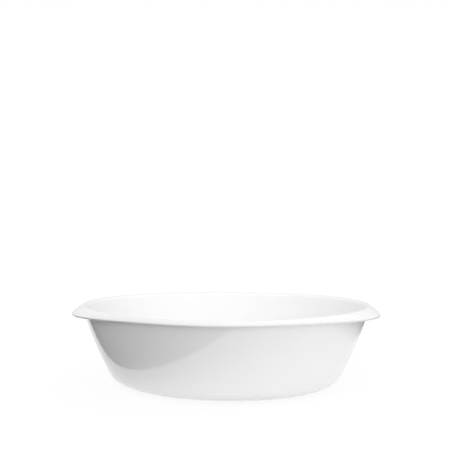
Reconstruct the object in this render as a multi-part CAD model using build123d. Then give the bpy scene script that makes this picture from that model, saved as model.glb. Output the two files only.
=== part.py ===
from build123d import *
import os
from math import cos, pi, sin

# An oval oven dish of white glazed porcelain, 29 cm over its two ears.
# It is one fired piece: a deep oval well with sloping walls, a rim that turns outward all
# round and widens into an ear at each end, and a low unglazed foot ring under the floor.
# Lengths are millimetres. The origin is on the table, under the middle of the dish.
# X runs from ear to ear, Y across the dish and Z up.

# Overall sizes
overall_length = 290.0
overall_width = 190.0
overall_height = 75.0

# Mouth of the well, measured where its wall would meet the top of the rim
mouth_length = 264.0
mouth_width = 177.5
mouth_rounding = 2.5

# Floor of the well, measured where its wall would meet the floor
floor_length = 209.0
floor_width = 128.5
floor_level = 7.5
floor_rounding = 5.0

# Walls: their thickness, how far they swell past a straight slope, and how they turn under
wall = 4.9
wall_swell = 2.1
turn_under_height = 11.0
turn_under_reach = 15.0

# Foot ring and the shallow hollow inside it
foot_width = 4.5
foot_height = 2.0
foot_rounding = 0.8

# Rim: its crest runs round the mouth, highest at the ears and a little lower along the sides.
# Its outer edge hangs furthest below the crest at the tips of the ears.
crest_reach = 4.7
crest_dip = 1.6
side_drop = 3.0
ear_drop = 7.0
ear_drop_power = 4.6
edge_lip = 1.6

# Curve of the rim's top: its handles, as shares of the fall at the tip and the reach at the crest
tip_handle_share = 0.13
crest_handle_share = 0.1

# Plan of the rim: an oval run together with the squarer outline of the two ears
oval_length = 262.0
ear_breadth = 108.0
ear_corner_power = 3.35
ear_blend_power = 4.7

# Underside of the rim: the height of its cove, as a share of the overhang
cove_share = 0.2

# How many points each curve round the dish goes through, and how many steps each skin takes
round_point_count = 72
base_step_count = 7
wall_step_count = 8
cove_step_count = 4
edge_step_count = 3
top_step_count = 6
mouth_step_count = 3
floor_step_count = 4


def oval_radius(half_length, half_width, turn, power=2.0):
    """Distance from the middle to an oval's outline, in the direction given by turn."""
    along = abs(cos(turn) / half_length) ** power
    across = abs(sin(turn) / half_width) ** power
    return (along + across) ** (-1 / power)


def power_sum(first, second):
    """Join two radii smoothly, a little past the larger one."""
    return (first**ear_blend_power + second**ear_blend_power) ** (1 / ear_blend_power)


def power_rest(whole, first):
    """The second radius that brings a power sum up to a given whole."""
    return (whole**ear_blend_power - first**ear_blend_power) ** (1 / ear_blend_power)


half_oval_width = power_rest(overall_width / 2, ear_breadth / 2)
ear_reach = power_rest(overall_length / 2, oval_length / 2)


def edge_radius(turn):
    """Radius of the rim's outermost line."""
    oval = oval_radius(oval_length / 2, half_oval_width, turn)
    ears = oval_radius(ear_reach, ear_breadth / 2, turn, ear_corner_power)
    return power_sum(oval, ears)


def crest_height(turn):
    """Height of the rim's crest, which dips along the two long sides."""
    return overall_height - crest_dip * sin(turn) ** 2


def edge_height(turn):
    """Height of the rim's outermost line, lowest at the ends of the ears."""
    drop = side_drop + (ear_drop - side_drop) * abs(cos(turn)) ** ear_drop_power
    return crest_height(turn) - drop


def well_half_sizes(height):
    """Half length and half width of the well at a height, with the walls' swell."""
    rise_share = (height - floor_level) / (overall_height - floor_level)
    swell = 4 * wall_swell * rise_share * (1 - rise_share)
    half_length = floor_length / 2 + (mouth_length - floor_length) / 2 * rise_share + swell
    half_width = floor_width / 2 + (mouth_width - floor_width) / 2 * rise_share + swell
    return half_length, half_width


def well_radius(height, turn):
    """Radius of the well's inner wall at a height."""
    return oval_radius(*well_half_sizes(height), turn)


def crest_radius(turn):
    """Radius of the rim's crest, a little way out from the mouth of the well."""
    return well_radius(crest_height(turn), turn) + crest_reach


def wall_radius(height, turn):
    """Radius of the outer wall at a height."""
    half_length, half_width = well_half_sizes(height)
    return oval_radius(half_length + wall, half_width + wall, turn)


def cove_heights(turn):
    """Height of the rim's underside, and of the line below it where the cove leaves the wall."""
    under = edge_height(turn) - edge_lip
    overhang = edge_radius(turn) - wall_radius(under, turn)
    return under, under - cove_share * overhang


def ring(place):
    """A closed curve once round the dish; place gives its radius and height in a direction."""
    points = []
    for point in range(round_point_count):
        turn = 2 * pi * point / round_point_count
        radius, height = place(turn)
        points.append((radius * cos(turn), radius * sin(turn), height))
    marks = [point / round_point_count for point in range(round_point_count + 1)]
    return Wire([Edge.make_spline(points, periodic=True, parameters=marks)])


def eased(share):
    """Spread shares closer together at both ends of a stretch, where tight curves join it."""
    return (1 - cos(pi * share)) / 2


def base_place(share):
    """Places where the wall turns under: share 0 is the foot's outer edge, 1 the foot of the wall."""

    def place(turn):
        lean = share * pi / 2
        height = turn_under_height * (1 - cos(lean))
        return wall_radius(height, turn) - turn_under_reach * (1 - sin(lean)), height

    return place


def wall_place(share):
    """Places up the outer wall, from where it turns under to where the cove starts."""

    def place(turn):
        under, start = cove_heights(turn)
        height = turn_under_height + (start - turn_under_height) * eased(share)
        return wall_radius(height, turn), height

    return place


def cove_place(share):
    """Places on the cove, from the wall out to the rim's underside."""

    def place(turn):
        under, start = cove_heights(turn)
        lean = share * pi / 2
        root = wall_radius(start, turn)
        reach = edge_radius(turn) - edge_lip - root
        return root + reach * (1 - cos(lean)), start + (under - start) * sin(lean)

    return place


def edge_place(share):
    """Places on the rounded lower half of the edge, from the underside out to the widest line."""

    def place(turn):
        lean = share * pi / 2
        radius = edge_radius(turn) - edge_lip * (1 - sin(lean))
        return radius, edge_height(turn) - edge_lip * cos(lean)

    return place


def top_place(share):
    """Places on top of the rim, from the widest line in to the crest beside the mouth.

    The section is a cubic curve. It leaves the widest line upright and reaches the crest level.
    """
    rest = 1 - share
    edge_part = rest**3
    tip_part = 3 * rest**2 * share
    rise_part = 3 * rest * share**2
    out_share = edge_part + tip_part + rise_part * crest_handle_share
    fall_share = edge_part + tip_part * (1 - tip_handle_share)

    def place(turn):
        radius = crest_radius(turn) + (edge_radius(turn) - crest_radius(turn)) * out_share
        return radius, crest_height(turn) - (crest_height(turn) - edge_height(turn)) * fall_share

    return place


def mouth_place(share):
    """Places where the crest rolls over into the well."""

    def place(turn):
        lean = share * pi / 2
        height = crest_height(turn) - mouth_rounding * (1 - cos(lean))
        return well_radius(height, turn) + crest_reach * (1 - sin(lean)), height

    return place


def well_place(share):
    """Places down the inner wall, from under the rolled mouth to where the floor's rounding starts."""

    def place(turn):
        top = crest_height(turn) - mouth_rounding
        height = top + (floor_level + floor_rounding - top) * eased(share)
        return well_radius(height, turn), height

    return place


def floor_place(share):
    """Places on the rounding between the inner wall and the flat floor."""

    def place(turn):
        lean = share * pi / 2
        height = floor_level + floor_rounding * (1 - sin(lean))
        return well_radius(height, turn) - floor_rounding * (1 - cos(lean)), height

    return place


def skin(place, step_count):
    """The faces of one smooth surface round the dish, through one stretch of its section."""
    rings = [ring(place(step / step_count)) for step in range(step_count + 1)]
    return Shell.make_loft(rings).faces()


# The outside runs from the foot's edge up the wall, out under the rim and round its edge
outside = skin(base_place, base_step_count) + skin(wall_place, wall_step_count)
outside += skin(cove_place, cove_step_count) + skin(edge_place, edge_step_count)

# The inside runs over the rim's top, down the inner wall and in to the edge of the flat floor
inside = skin(top_place, top_step_count) + skin(mouth_place, mouth_step_count)
inside += skin(well_place, wall_step_count) + skin(floor_place, floor_step_count)

# A flat base and a flat floor close the skins into one solid
flats = [Face(ring(base_place(0))), Face(ring(floor_place(1)))]
dish = Solid(Shell(outside + inside + flats))

# The foot ring stands around a shallow hollow in the underside
foot_radii = [base_place(0)(turn)[0] for turn in (0, pi / 2)]
hollow = extrude(Ellipse(*[radius - foot_width for radius in foot_radii]), foot_height)
hollow = fillet(hollow.edges().group_by(Axis.Z)[-1], foot_rounding)
dish = dish - hollow
foot_edges = dish.edges().filter_by_position(Axis.Z, 0, 0).sort_by(SortBy.LENGTH)
dish = fillet(foot_edges[0], foot_rounding)

os.makedirs("parts", exist_ok=True)
export_step(dish, "parts/dish.step")
size = dish.bounding_box().size
print("dish", round(size.X, 2), round(size.Y, 2), round(size.Z, 2), "cm3", round(dish.volume / 1000, 1))
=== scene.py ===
# %% Open the measured dish
from math import pi, radians

import bpy
import numpy as np
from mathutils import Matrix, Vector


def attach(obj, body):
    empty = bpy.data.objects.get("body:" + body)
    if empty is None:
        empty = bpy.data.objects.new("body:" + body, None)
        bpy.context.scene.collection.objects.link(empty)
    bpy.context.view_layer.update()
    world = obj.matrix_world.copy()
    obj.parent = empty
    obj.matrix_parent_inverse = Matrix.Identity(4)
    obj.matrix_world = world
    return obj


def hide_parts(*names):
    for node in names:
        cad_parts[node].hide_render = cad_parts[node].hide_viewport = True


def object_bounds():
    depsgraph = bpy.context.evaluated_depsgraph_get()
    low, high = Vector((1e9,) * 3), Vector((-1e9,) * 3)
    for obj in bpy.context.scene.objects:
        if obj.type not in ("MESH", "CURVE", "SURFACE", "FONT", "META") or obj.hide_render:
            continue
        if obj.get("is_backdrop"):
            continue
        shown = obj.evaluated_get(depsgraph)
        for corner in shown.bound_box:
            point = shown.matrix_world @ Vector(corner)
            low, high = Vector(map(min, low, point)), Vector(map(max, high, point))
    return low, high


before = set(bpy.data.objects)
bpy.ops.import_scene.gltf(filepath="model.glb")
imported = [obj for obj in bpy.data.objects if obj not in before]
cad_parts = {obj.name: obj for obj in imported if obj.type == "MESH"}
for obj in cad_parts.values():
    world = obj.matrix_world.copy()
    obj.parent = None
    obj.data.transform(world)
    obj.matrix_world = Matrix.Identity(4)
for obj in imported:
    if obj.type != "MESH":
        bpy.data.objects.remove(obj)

low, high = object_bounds()

# %% [markdown]
# # An oval gratin dish of white porcelain
# The real dish is one piece of porcelain: pressed or cast, turned upside down to have its
# foot trimmed, dipped in a white glaze, wiped along its foot ring and fired. There is
# nothing to put together, so all the care goes into one skin: a deep oval well, a rim that
# turns outward and widens into an ear at each end, and a low foot ring underneath.
# A box model with a subdivision modifier could give a dish like this, but the rim's edge
# would only be near its real line. Here the skin is worked out from the dish's own measures,
# so that every edge lies where it was measured.
#
# First come the measures. X runs from ear to ear, Y across the dish and Z up, in metres.

# %% Measures of the dish
mm = 0.001
overall_length, overall_width, overall_height = (high[axis] - low[axis] for axis in range(3))

mouth_length, mouth_width, mouth_rounding = 264.0 * mm, 177.5 * mm, 2.5 * mm
floor_length, floor_width = 209.0 * mm, 128.5 * mm
floor_level, floor_rounding = 7.5 * mm, 5.0 * mm

wall, wall_swell = 4.9 * mm, 2.1 * mm
turn_under_height, turn_under_reach = 11.0 * mm, 15.0 * mm
foot_width, foot_height, foot_rounding = 4.5 * mm, 2.0 * mm, 0.8 * mm

crest_reach, crest_dip, edge_lip = 4.7 * mm, 1.6 * mm, 1.6 * mm
side_drop, ear_drop, ear_drop_power = 3.0 * mm, 7.0 * mm, 4.6
tip_handle_share, crest_handle_share, cove_share = 0.13, 0.1, 0.2
oval_length, ear_breadth = 262.0 * mm, 108.0 * mm
ear_corner_power, ear_blend_power = 3.35, 4.7

print("over the ears %.0f mm, across %.0f mm, high %.0f mm" % tuple(
    size / mm for size in (overall_length, overall_width, overall_height)))

# %% [markdown]
# ## The plan of the rim
# Seen from above, the rim is an oval whose two ends are squared off into ears. It could be
# drawn by hand as a curve, but a formula keeps both ends alike. Each direction from the
# middle has two distances, one to the oval and one to a squarer oval that reaches further
# along and less far across. A power sum of the two follows whichever is larger and melts
# the corner between them. The rim's crest dips a little along the two long sides, and the
# edge hangs further below it at the ears than at the sides.

# %% Plan and height of the rim's edge
columns = 288
turn = np.linspace(0, 2 * pi, columns, endpoint=False)[None, :]


def oval_radius(half_length, half_width, power=2.0):
    """Radius = (|cos turn / half length|^power + |sin turn / half width|^power)^(-1/power)."""
    along = np.abs(np.cos(turn) / half_length) ** power
    across = np.abs(np.sin(turn) / half_width) ** power
    return (along + across) ** (-1 / power)


def power_sum(first, second, sign=1):
    """(first^p + second^p)^(1/p) joins two radii; with sign -1 it takes the second away."""
    power = ear_blend_power
    return (first**power + sign * second**power) ** (1 / power)


half_oval_width = power_sum(overall_width / 2, ear_breadth / 2, -1)
ear_reach = power_sum(overall_length / 2, oval_length / 2, -1)
edge_radius = power_sum(
    oval_radius(oval_length / 2, half_oval_width),
    oval_radius(ear_reach, ear_breadth / 2, ear_corner_power),
)
crest_height = overall_height - crest_dip * np.sin(turn) ** 2
hang_share = np.abs(np.cos(turn)) ** ear_drop_power
edge_height = crest_height - side_drop - (ear_drop - side_drop) * hang_share
print("the edge lies between %.1f mm and %.1f mm high" % (
    edge_height.min() / mm, edge_height.max() / mm))

# %% [markdown]
# ## The well and its walls
# The well narrows from its mouth to its floor, and its wall swells a little past a straight
# slope, as a cast wall does. The outside of the wall follows the inside at one wall
# thickness, because porcelain fires best when it is even.

# %% Radii of the well and of the outer wall at any height


def well_half_sizes(height):
    """Half sizes: a straight slope plus a swell 4 w s (1 - s), where s is the share of the rise."""
    rise_share = (height - floor_level) / (overall_height - floor_level)
    swell = 4 * wall_swell * rise_share * (1 - rise_share)
    half_length = floor_length / 2 + (mouth_length - floor_length) / 2 * rise_share + swell
    half_width = floor_width / 2 + (mouth_width - floor_width) / 2 * rise_share + swell
    return half_length, half_width


def well_radius(height):
    """Radius of the inner wall: the oval with the well's half sizes at that height."""
    return oval_radius(*well_half_sizes(height))


def wall_radius(height):
    """Radius of the outer wall: the oval with the well's half sizes plus the wall."""
    half_length, half_width = well_half_sizes(height)
    return oval_radius(half_length + wall, half_width + wall)


foot_radius = wall_radius(0.0) - turn_under_reach
print("the foot ring is %.0f mm by %.0f mm outside" % (
    2 * foot_radius.max() / mm, 2 * foot_radius.min() / mm))

# %% [markdown]
# ## The section, stretch by stretch
# A potter would cut a template of the dish's section. Ours is written as ten stretches that
# follow each other, from the middle of the underside, out over the foot ring, up the wall,
# round the rim and down into the well. Each stretch takes a share from 0 to 1 along itself
# and gives a radius and a height for all directions at once. Quarter turns make the
# roundings: as the lean goes from 0 to a right angle, sine and cosine trade places.

# %% Underside: hollow, foot ring and the turn up into the wall


def hollow_place(share):
    """Flat ceiling of the hollow: radius = share x (inner foot radius - rounding)."""
    return share * (inner_foot - foot_rounding), foot_height + 0 * turn * share


def hollow_corner_place(share):
    """Quarter circle from the ceiling down into the foot ring's inner side."""
    lean = share * pi / 2
    height = foot_height - foot_rounding * (1 - np.cos(lean))
    return inner_foot - foot_rounding * (1 - np.sin(lean)), height + 0 * turn


def foot_corner_place(share):
    """Quarter circle from the foot ring's inner side on to the face that it stands on."""
    lean = share * pi / 2
    height = foot_rounding * (1 - np.sin(lean))
    return inner_foot + foot_rounding * (1 - np.cos(lean)), height + 0 * turn


def foot_place(share):
    """Level standing face, straight from its inner edge to its outer edge."""
    start = inner_foot + foot_rounding
    return start + (foot_radius - start) * share, 0 * turn * share


def base_place(share):
    """Quarter oval: height = h (1 - cos lean), radius = wall radius - reach (1 - sin lean)."""
    lean = share * pi / 2
    height = turn_under_height * (1 - np.cos(lean))
    return wall_radius(height) - turn_under_reach * (1 - np.sin(lean)), height + 0 * turn


inner_foot = oval_radius(*(size - foot_width for size in (foot_radius.max(), foot_radius.min())))
print("the standing face is %.1f mm wide" % ((foot_radius - inner_foot - foot_rounding).min() / mm))

# %% Outside: wall, cove and the rounded lower half of the edge
under_edge = edge_height - edge_lip
cove_start = under_edge - cove_share * (edge_radius - wall_radius(under_edge))


def eased(share):
    """(1 - cos(pi share)) / 2 puts rows closer together at both ends of a stretch."""
    return (1 - np.cos(pi * share)) / 2


def wall_place(share):
    """Up the wall: height eased from the turn to the cove, radius from the wall's oval."""
    height = turn_under_height + (cove_start - turn_under_height) * eased(share)
    return wall_radius(height), height


def cove_place(share):
    """Quarter oval that bends from the wall, going up, to the rim's underside, going out."""
    lean = share * pi / 2
    root = wall_radius(cove_start)
    radius = root + (edge_radius - edge_lip - root) * (1 - np.cos(lean))
    return radius, cove_start + (under_edge - cove_start) * np.sin(lean)


def edge_place(share):
    """Quarter circle with the lip as radius, from the underside out to the widest line."""
    lean = share * pi / 2
    return edge_radius - edge_lip * (1 - np.sin(lean)), edge_height - edge_lip * np.cos(lean)


print("the cove starts %.1f mm to %.1f mm high" % (cove_start.min() / mm, cove_start.max() / mm))

# %% Inside: the rim's top, the rolled mouth, the well and its floor
crest_radius = well_radius(crest_height) + crest_reach


def top_place(share):
    """Cubic curve with four points: e^3 + 3 e^2 s + 3 e s^2 + s^3, where s is the share and e the rest.

    It leaves the widest line upright and reaches the crest level."""
    rest = 1 - share
    edge_part, tip_part, rise_part = rest**3, 3 * rest**2 * share, 3 * rest * share**2
    out_share = edge_part + tip_part + rise_part * crest_handle_share
    fall_share = edge_part + tip_part * (1 - tip_handle_share)
    radius = crest_radius + (edge_radius - crest_radius) * out_share
    return radius, crest_height - (crest_height - edge_height) * fall_share


def mouth_place(share):
    """Quarter oval over the crest: height = crest - r (1 - cos), radius = well + reach (1 - sin)."""
    lean = share * pi / 2
    height = crest_height - mouth_rounding * (1 - np.cos(lean))
    return well_radius(height) + crest_reach * (1 - np.sin(lean)), height


def well_place(share):
    """Down the inner wall: height eased from under the mouth to the floor's rounding."""
    top = crest_height - mouth_rounding
    height = top + (floor_level + floor_rounding - top) * eased(share)
    return well_radius(height), height


def floor_corner_place(share):
    """Quarter circle from the inner wall, going down, to the floor, going in."""
    lean = share * pi / 2
    height = floor_level + floor_rounding * (1 - np.sin(lean))
    return well_radius(height) - floor_rounding * (1 - np.cos(lean)), height + 0 * turn


def floor_place(share):
    """Flat floor: radius = (1 - share) x the radius where the rounding ends."""
    edge = floor_corner_place(np.ones((1, 1)))[0]
    return edge * (1 - share), floor_level + 0 * turn * share


# %% [markdown]
# ## One grid for the whole skin
# The stretches are stacked into one grid: a row is a ring round the dish, a column is one
# direction. Rows that two stretches share are kept once. The two poles, in the middle of
# the underside and of the floor, are single points with a fan of triangles, so that the
# skin is closed and has an inside, as the real body has.

# %% Stack the stretches into a grid of points
stretches = [
    ("hollow", hollow_place, 10), ("hollow corner", hollow_corner_place, 4),
    ("foot corner", foot_corner_place, 4), ("foot", foot_place, 4), ("base", base_place, 18),
    ("wall", wall_place, 40), ("cove", cove_place, 12), ("edge", edge_place, 8),
    ("top", top_place, 24), ("mouth", mouth_place, 10), ("well", well_place, 44),
    ("floor corner", floor_corner_place, 14), ("floor", floor_place, 12),
]
ring_radii, ring_heights, row_names = [], [], []
for name, place, steps in stretches:
    share = np.linspace(0, 1, steps + 1)[1:, None]
    radius, height = place(share)
    ring_radii.append(radius)
    ring_heights.append(height)
    row_names += [name] * steps
radii = np.concatenate(ring_radii)[:-1]
heights = np.concatenate(ring_heights)[:-1]
row_names = np.array(row_names[:-1])
grid = np.stack([radii * np.cos(turn), radii * np.sin(turn), heights], axis=-1)
print("the grid has", grid.shape[0], "rings of", grid.shape[1], "points")

# %% [markdown]
# ## The small unevenness of a fired body
# A fired wall is never as true as its drawing: it moves by a tenth of a millimetre or so in
# the kiln, and a glossy glaze shows that as a slow bend in every reflection. The points are
# pushed inward along the skin's own normals by a few slow waves, never outward, so that
# the dish keeps its measured size. The standing face was ground flat and stays flat.

# %% Push the skin in by slow waves
uneven_depth = 0.12 * mm
along_ring = np.roll(grid, -1, axis=1) - np.roll(grid, 1, axis=1)
along_section = np.gradient(grid, axis=0)
normals = np.cross(along_ring, along_section)
normals /= np.linalg.norm(normals, axis=-1, keepdims=True)

x_share, y_share, z_share = (grid[..., axis] / overall_height for axis in range(3))
waves = (
    np.sin(2.1 * x_share + 1.3 * z_share + 0.4) * np.cos(2.7 * y_share - 0.9)
    + 0.6 * np.sin(4.3 * x_share - 3.1 * y_share + 2.2 * z_share + 1.1)
    + 0.4 * np.sin(6.1 * y_share + 5.2 * x_share - 4.4 * z_share + 2.6)
) / 2
off_foot = np.clip(heights / foot_height, 0, 1)[..., None]
grid = grid - normals * uneven_depth * off_foot * (0.5 + 0.5 * waves[..., None])
print("pushed in by at most %.2f mm" % (uneven_depth * (0.5 + 0.5 * waves.max()) / mm))

# %% Turn the grid into a closed mesh


def skin_mesh(name, points):
    """Quads join each ring to the next; a fan of triangles closes each end on a point of its own."""
    rows, around = points.shape[:2]
    index = np.arange(rows * around).reshape(rows, around)
    beside = np.roll(index, -1, axis=1)
    quads = np.stack([index[:-1], beside[:-1], beside[1:], index[1:]], axis=-1).reshape(-1, 4)
    first, last = rows * around, rows * around + 1
    pole = np.full(around, first)
    under_fan = np.stack([pole, beside[0], index[0]], axis=-1)
    floor_fan = np.stack([index[-1], beside[-1], pole + 1], axis=-1)
    poles = points[[0, -1]].mean(axis=1)
    places = np.concatenate([points.reshape(-1, 3), poles])
    mesh = bpy.data.meshes.new(name)
    mesh.from_pydata(places.tolist(), [], [*quads.tolist(), *under_fan.tolist(), *floor_fan.tolist()])
    mesh.polygons.foreach_set("use_smooth", np.ones(len(mesh.polygons), dtype=bool))
    mesh.update()
    return mesh


dish_mesh = skin_mesh("gratin_dish", grid)
gratin_dish = bpy.data.objects.new("gratin_dish", dish_mesh)
bpy.context.scene.collection.objects.link(gratin_dish)
print("the skin has", len(dish_mesh.polygons), "faces, and is sound:", not dish_mesh.validate())

# %% [markdown]
# ## Where the glaze is thin, thick or wiped off
# Molten glaze creeps off sharp edges and gathers in hollows, so it is thin along the rim's
# edge and on the crest of the mouth, and thick in the cove and round the floor. The foot
# ring is wiped bare before firing, or it would stick to the kiln shelf. These places follow
# the skin, not the air round it, so they are kept as attributes on the mesh's own points.

# %% Write the glaze's places on the mesh


def near(place_value, centre, reach):
    """A bump that is 1 at the centre and falls off as exp(-(distance / reach)^2)."""
    return np.exp(-(((place_value - centre) / reach) ** 2))


def keep_on_points(name, values):
    """Write one value per grid point; both poles take the value of the ring beside them."""
    layer = dish_mesh.attributes.new(name, "FLOAT", "POINT")
    whole = np.concatenate([values.ravel(), values[[0, -1], 0]])
    layer.data.foreach_set("value", whole.astype(np.float32))
    print(name, "covers %.1f %% of the points" % (100 * (values > 0.5).mean()))


on_rim = np.isin(row_names, ["edge", "top", "mouth"])[:, None]
thin_edge = near(radii, edge_radius, 1.6 * mm) * on_rim
thin_crest = 0.5 * near(radii, crest_radius - crest_reach / 2, 1.8 * mm) * on_rim
thick_floor = np.isin(row_names, ["well", "floor corner", "floor"])[:, None] * near(
    radii, floor_corner_place(np.full((1, 1), 0.6))[0], 7 * mm) * near(heights, floor_level, 9 * mm)
thick_cove = np.isin(row_names, ["wall", "cove"])[:, None] * near(heights, under_edge, 2.2 * mm)
bare_foot = (np.isin(row_names, ["foot corner", "foot"])[:, None] & (heights < 0.5 * mm)) + 0 * radii

keep_on_points("thin_glaze", np.clip(thin_edge + thin_crest, 0, 1))
keep_on_points("thick_glaze", np.clip(thick_floor + thick_cove, 0, 1))
keep_on_points("bare_foot", bare_foot)

# %% [markdown]
# ## The surface of the glaze
# White porcelain glaze looks plain, but close to it is not a flat colour. It has a very
# shallow ripple, a few pinholes where gas left it, and now and then a grey speck of iron.
# The ripple could be modelled, but it is far finer than the grid, so it is bump. Glaze and
# bare clay both need ripple and specks at their own scale, so each effect is a group with
# named inputs, built once.

# %% Helpers for node groups


def new_group(name, inputs, outputs):
    """A shader group with float inputs (name, value) and named outputs; gives group and its ends."""
    group = bpy.data.node_groups.new(name, "ShaderNodeTree")
    group.interface.new_socket("Place", in_out="INPUT", socket_type="NodeSocketVector")
    for title, value in inputs:
        socket = group.interface.new_socket(title, in_out="INPUT", socket_type="NodeSocketFloat")
        socket.default_value = value
    for title in outputs:
        group.interface.new_socket(title, in_out="OUTPUT", socket_type="NodeSocketFloat")
    start, end = group.nodes.new("NodeGroupInput"), group.nodes.new("NodeGroupOutput")
    return group, start, end


def add(tree, kind, links=(), **settings):
    """Add a node, set its properties, and join or set each (input, source or value) pair."""
    node = tree.nodes.new(kind)
    for setting, value in settings.items():
        setattr(node, setting, value)
    for socket, source in links:
        if isinstance(source, bpy.types.NodeSocket):
            tree.links.new(source, node.inputs[socket])
        else:
            node.inputs[socket].default_value = source
    return node


# %% Group: ripple, a shallow height in two sizes of wave
ripple_group, start, end = new_group("surface_ripple", [("Scale", 90.0), ("Fine Share", 0.3)], ["Height"])
slow = add(ripple_group, "ShaderNodeTexNoise", [
    ("Vector", start.outputs["Place"]), ("Scale", start.outputs["Scale"]), ("Detail", 1.0)])
fine_scale = add(ripple_group, "ShaderNodeMath", [
    (0, start.outputs["Scale"]), (1, 6.0)], operation="MULTIPLY")
fine = add(ripple_group, "ShaderNodeTexNoise", [
    ("Vector", start.outputs["Place"]), ("Scale", fine_scale.outputs[0]), ("Detail", 2.0)])
both = add(ripple_group, "ShaderNodeMath", [
    (0, fine.outputs["Fac"]), (1, start.outputs["Fine Share"]), (2, slow.outputs["Fac"])],
    operation="MULTIPLY_ADD")
ripple_group.links.new(both.outputs[0], end.inputs["Height"])
print("made the group", ripple_group.name)

# %% Group: specks, small scattered dots
speck_group, start, end = new_group(
    "kiln_specks", [("Scale", 60.0), ("Size", 0.02), ("Rarity", 0.9)], ["Mask"])
cells = add(speck_group, "ShaderNodeTexVoronoi", [
    ("Vector", start.outputs["Place"]), ("Scale", start.outputs["Scale"])])
dot = add(speck_group, "ShaderNodeMapRange", [
    ("Value", cells.outputs["Distance"]), ("From Min", start.outputs["Size"]), ("From Max", 0.0)])
pick = add(speck_group, "ShaderNodeSeparateColor", [("Color", cells.outputs["Color"])])
chosen = add(speck_group, "ShaderNodeMath", [
    (0, pick.outputs["Red"]), (1, start.outputs["Rarity"])], operation="GREATER_THAN")
mask = add(speck_group, "ShaderNodeMath", [
    (0, dot.outputs["Result"]), (1, chosen.outputs[0])], operation="MULTIPLY")
speck_group.links.new(mask.outputs[0], end.inputs["Mask"])
print("made the group", speck_group.name)

# %% [markdown]
# ## White glaze
# A glaze is a layer of clear glass over a white body. The colour is that of the body, a
# nearly neutral white. It turns a touch warmer where the glaze is thin and a touch cooler
# where it is thick. The gloss comes from the shader's own smooth surface with a coat over
# it, at the reflection of glass.

# %% Material: white glaze


def attribute(tree, name):
    """The value of one of the mesh's own attributes, as a node output."""
    return add(tree, "ShaderNodeAttribute", attribute_name=name).outputs["Fac"]


def blend(tree, share, first, second):
    """Colour that goes from first to second as share goes from 0 to 1."""
    return add(tree, "ShaderNodeMix", [
        ("Factor", share), (6, first), (7, second)], data_type="RGBA").outputs[2]


def group_node(tree, group, place, values):
    """One use of a group, with its own values."""
    node = add(tree, "ShaderNodeGroup", node_tree=group)
    tree.links.new(place, node.inputs["Place"])
    for title, value in values.items():
        node.inputs[title].default_value = value
    return node.outputs[0]


body_white = (0.905, 0.904, 0.902, 1.0)
thin_white = (0.888, 0.884, 0.877, 1.0)
thick_white = (0.886, 0.890, 0.891, 1.0)
iron_grey = (0.60, 0.58, 0.55, 1.0)

glaze = bpy.data.materials.new("white_glaze")
glaze.use_nodes = True
tree = glaze.node_tree
shader = tree.nodes["Principled BSDF"]
place = add(tree, "ShaderNodeTexCoord").outputs["Object"]
colour = blend(tree, attribute(tree, "thin_glaze"), body_white, thin_white)
colour = blend(tree, attribute(tree, "thick_glaze"), colour, thick_white)
specks = group_node(tree, speck_group, place, {"Scale": 70.0, "Size": 0.014, "Rarity": 0.992})
colour = blend(tree, specks, colour, iron_grey)
tree.links.new(colour, shader.inputs["Base Color"])

ripple = group_node(tree, ripple_group, place, {"Scale": 70.0, "Fine Share": 0.12})
pinholes = group_node(tree, speck_group, place, {"Scale": 95.0, "Size": 0.02, "Rarity": 0.97})
pitted = add(tree, "ShaderNodeMath", [(0, pinholes), (1, -0.8), (2, ripple)],
             operation="MULTIPLY_ADD").outputs[0]
bump = add(tree, "ShaderNodeBump", [("Height", pitted), ("Strength", 1.0), ("Distance", 0.03 * mm)])
tree.links.new(bump.outputs["Normal"], shader.inputs["Normal"])

gloss = add(tree, "ShaderNodeMapRange", [
    ("Value", ripple), ("From Min", 0.3), ("From Max", 0.8), ("To Min", 0.07), ("To Max", 0.12)])
tree.links.new(gloss.outputs["Result"], shader.inputs["Roughness"])
shader.inputs["IOR"].default_value = 1.55
shader.inputs["Coat Weight"].default_value = 0.6
shader.inputs["Coat Roughness"].default_value = 0.03
shader.inputs["Coat IOR"].default_value = 1.5
print("made", glaze.name)

# %% [markdown]
# ## The wiped foot
# The standing face is bare porcelain: matt, a little greyer and creamier than the glaze,
# with a fine tooth that can be felt with a fingernail, and a few dark grains from the shelf.

# %% Material: bare clay
clay_white = (0.80, 0.785, 0.755, 1.0)
clay_grain = (0.45, 0.42, 0.38, 1.0)

clay = bpy.data.materials.new("bare_clay")
clay.use_nodes = True
tree = clay.node_tree
shader = tree.nodes["Principled BSDF"]
place = add(tree, "ShaderNodeTexCoord").outputs["Object"]
grains = group_node(tree, speck_group, place, {"Scale": 600.0, "Size": 0.22, "Rarity": 0.9})
tree.links.new(blend(tree, grains, clay_white, clay_grain), shader.inputs["Base Color"])
tooth = group_node(tree, ripple_group, place, {"Scale": 900.0, "Fine Share": 0.8})
bump = add(tree, "ShaderNodeBump", [("Height", tooth), ("Strength", 1.0), ("Distance", 0.05 * mm)])
tree.links.new(bump.outputs["Normal"], shader.inputs["Normal"])
shader.inputs["Roughness"].default_value = 0.75
print("made", clay.name)

# %% [markdown]
# The two finishes meet along the foot ring's standing face. The mask on the points picks
# the faces that take bare clay; all others keep the glaze.

# %% Put the finishes on the skin
dish_mesh.materials.append(glaze)
dish_mesh.materials.append(clay)
rows, around = radii.shape
bare_rows = (bare_foot[:-1, 0] > 0.5) & (bare_foot[1:, 0] > 0.5)
slots = np.concatenate([np.repeat(bare_rows, around), np.zeros(2 * around, dtype=bool)])
dish_mesh.polygons.foreach_set("material_index", slots.astype(np.int32))
dish_mesh.update()
print("faces of bare clay:", int(slots.sum()))

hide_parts("dish")
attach(gratin_dish, "root")

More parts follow.
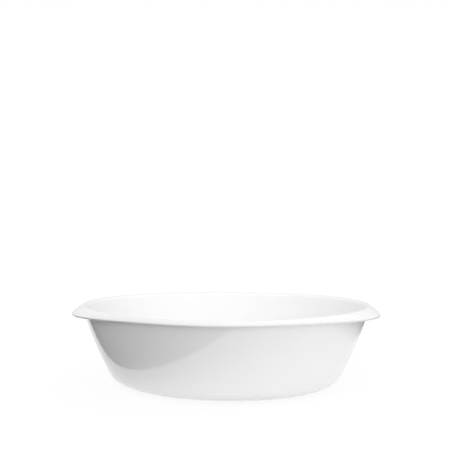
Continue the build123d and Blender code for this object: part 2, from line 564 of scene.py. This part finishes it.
# %% [markdown]
# ## The table
# A white dish on white paper is told from it by its own shading alone. The floor is a
# plain white sheet. What the camera and the glaze's mirror see of it is mostly plain white,
# with enough of the sheet's real shading left in it to keep the dish's soft shadow. The plain
# part is set a little over 1, so that the open floor is as white as the room behind it.

# %% Floor


def flat_sheet(name, outline, height):
    """One level face whose corners are the outline's points, at the given height."""
    mesh = bpy.data.meshes.new(name)
    mesh.from_pydata([(x, y, height) for x, y in outline], [], [tuple(range(len(outline)))])
    sheet = bpy.data.objects.new(name, mesh)
    bpy.context.scene.collection.objects.link(sheet)
    sheet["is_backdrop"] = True
    return sheet


floor_reach = 3.0
paper_grey, plain_level, plain_amount = 0.90, 1.02, 0.88
corners = [(-floor_reach, -floor_reach), (floor_reach, -floor_reach),
           (floor_reach, floor_reach), (-floor_reach, floor_reach)]
paper_floor = flat_sheet("paper_floor", corners, -0.05 * mm)

paper = bpy.data.materials.new("white_paper")
paper.use_nodes = True
tree = paper.node_tree
tree.nodes.clear()
lit = add(tree, "ShaderNodeBsdfDiffuse", [("Color", (paper_grey, paper_grey, paper_grey, 1.0))])
plain = add(tree, "ShaderNodeEmission", [
    ("Color", (1.0, 1.0, 1.0, 1.0)), ("Strength", plain_level)])
rays = add(tree, "ShaderNodeLightPath")
seen = add(tree, "ShaderNodeMath", [
    (0, rays.outputs["Is Camera Ray"]), (1, rays.outputs["Is Glossy Ray"])], operation="MAXIMUM")
plain_share = add(tree, "ShaderNodeMath", [
    (0, seen.outputs[0]), (1, plain_amount)], operation="MULTIPLY")
mix = add(tree, "ShaderNodeMixShader", [
    (0, plain_share.outputs[0]), (1, lit.outputs[0]), (2, plain.outputs[0])])
add(tree, "ShaderNodeOutputMaterial", [("Surface", mix.outputs[0])])
paper_floor.data.materials.append(paper)
print("made the floor")

# %% [markdown]
# In the photograph the glaze of the outer wall mirrors a dark area at the front left, with a
# sharp edge, and under the right ear it has a small soft dark patch, the ear's shade. What
# made the dark area isn't in the picture. Traced back from the wall to the floor, its sharp
# edge comes out as a straight line, as where a white sheet ends on a dark table. Mirror
# images like these are what shows a glaze as glossy, so a dark table is laid on the left.
# On the right a second dark piece, which fades in, is painted shade: the glaze mirrors it
# and it takes away light bounced from the floor, so the wall under the right ear darkens.
# The camera doesn't see either piece, and from below they let light through, so the sheet
# stays white.

# %% Dark table beyond the sheet's two ends; on the right it is painted shade
left_table = [(-900, 672), (-1500, 672), (-1500, -1500), (700, -1500), (700, -793)]
# The right piece is painted shade: a dark sheet that stands in for the ear's shade on the wall under the
# right ear.
right_shade_table = [(180, -70), (800, -350), (800, 700), (180, 700)]
table_and_shade_gap = 0.4 * mm
table_and_shade_pieces = []
for name, corners in (("left_table", left_table), ("right_shade_table", right_shade_table)):
    piece = flat_sheet(name, [(x * mm, y * mm) for x, y in corners], table_and_shade_gap)
    piece.visible_camera = False
    piece.visible_shadow = False
    table_and_shade_pieces.append(piece)
print("laid", len(table_and_shade_pieces), "pieces of dark table")

# %% Material: dark table, which on the right is painted shade
table_and_shade_grey = 0.15


def table_and_shade_finish(name, dark_at, clear_at):
    """Dark grey seen from above, clear from below; it fades in between two places along X."""
    finish = bpy.data.materials.new(name)
    finish.use_nodes = True
    tree = finish.node_tree
    tree.nodes.clear()
    wood_and_shade = add(tree, "ShaderNodeBsdfDiffuse", [("Color", (table_and_shade_grey, table_and_shade_grey, table_and_shade_grey, 1.0))])
    clear = add(tree, "ShaderNodeBsdfTransparent")
    along = add(tree, "ShaderNodeSeparateXYZ", [
        (0, add(tree, "ShaderNodeTexCoord").outputs["Object"])]).outputs["X"]
    fade = add(tree, "ShaderNodeMapRange", [
        ("Value", along), ("From Min", dark_at), ("From Max", clear_at)]).outputs["Result"]
    below = add(tree, "ShaderNodeNewGeometry").outputs["Backfacing"]
    clear_share = add(tree, "ShaderNodeMath", [(0, fade), (1, below)], operation="MAXIMUM")
    mix = add(tree, "ShaderNodeMixShader", [
        (0, clear_share.outputs[0]), (1, wood_and_shade.outputs[0]), (2, clear.outputs[0])])
    add(tree, "ShaderNodeOutputMaterial", [("Surface", mix.outputs[0])])
    return finish


# The soft-edged finish goes on the right piece, the painted shade under the right ear.
beyond_table, fade_end, fade_start = 2.0, 235 * mm, 185 * mm
finishes = [table_and_shade_finish("table_with_sharp_edge", beyond_table, floor_reach),
            table_and_shade_finish("shade_table_with_soft_edge", fade_end, fade_start)]
for piece, finish in zip(table_and_shade_pieces, finishes):
    piece.data.materials.append(finish)
    print(piece.name, "faces", "up" if piece.data.polygons[0].normal.z > 0 else "down")

# %% [markdown]
# ## Light
# A lamp of any size would show in the glaze as a bright shape with edges, and the photograph
# has none there. So the world is the whole studio: an even white room, and in it one broad
# soft window high up behind the camera, a little to its right. The window's strength falls
# off from its middle as the square of the cosine, which leaves no edge to mirror. The camera
# sees plain white.

# %% World
room_light, window_light, seen_light = 0.79, 0.75, 1.0
window_way = (0.2, -0.67, 0.7)

world = bpy.data.worlds.new("white_room")
bpy.context.scene.world = world
world.use_nodes = True
tree = world.node_tree
tree.nodes.clear()
way = add(tree, "ShaderNodeTexCoord").outputs["Generated"]
cosine = add(tree, "ShaderNodeVectorMath", [(0, way), (1, window_way)], operation="DOT_PRODUCT")
in_front = add(tree, "ShaderNodeMath", [(0, cosine.outputs["Value"]), (1, 0.0)], operation="MAXIMUM")
falloff = add(tree, "ShaderNodeMath", [(0, in_front.outputs[0]), (1, 2.0)], operation="POWER")
studio = add(tree, "ShaderNodeMath", [
    (0, falloff.outputs[0]), (1, window_light), (2, room_light)], operation="MULTIPLY_ADD")
strength = add(tree, "ShaderNodeMapRange", [
    ("Value", add(tree, "ShaderNodeLightPath").outputs["Is Camera Ray"]),
    ("To Min", studio.outputs[0]), ("To Max", seen_light)])
room = add(tree, "ShaderNodeBackground", [
    ("Color", (1.0, 1.0, 1.0, 1.0)), ("Strength", strength.outputs["Result"])])
add(tree, "ShaderNodeOutputWorld", [("Surface", room.outputs[0])])
print("the studio is %.2f bright behind, %.2f at the window" % (room_light, room_light + window_light))

# %% [markdown]
# ## Camera
# The photograph's lower view was taken close by, a little above the rim. A camera was fitted
# to its outline, with the dish taken as 75 mm high: it stands 42 cm from the middle of the
# rim, 4 degrees round to the right and 8 degrees up, and looks almost level, so the dish
# sits in the lower half of the frame.

# %% Camera at the photograph's viewing angle
eye = bpy.data.cameras.new("photograph")
eye.sensor_width, eye.lens = 36.0, 34.02
camera = bpy.data.objects.new("photograph", eye)
camera.location = (27.83 * mm, -416.69 * mm, 133.79 * mm)
camera.rotation_euler = (radians(92.255), radians(0.123), radians(3.708))
bpy.context.scene.collection.objects.link(camera)
bpy.context.scene.camera = camera
bpy.context.scene.view_settings.view_transform = "Standard"
print("camera", tuple(round(value, 4) for value in camera.location))

# %% The box round the shown objects
low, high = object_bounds()
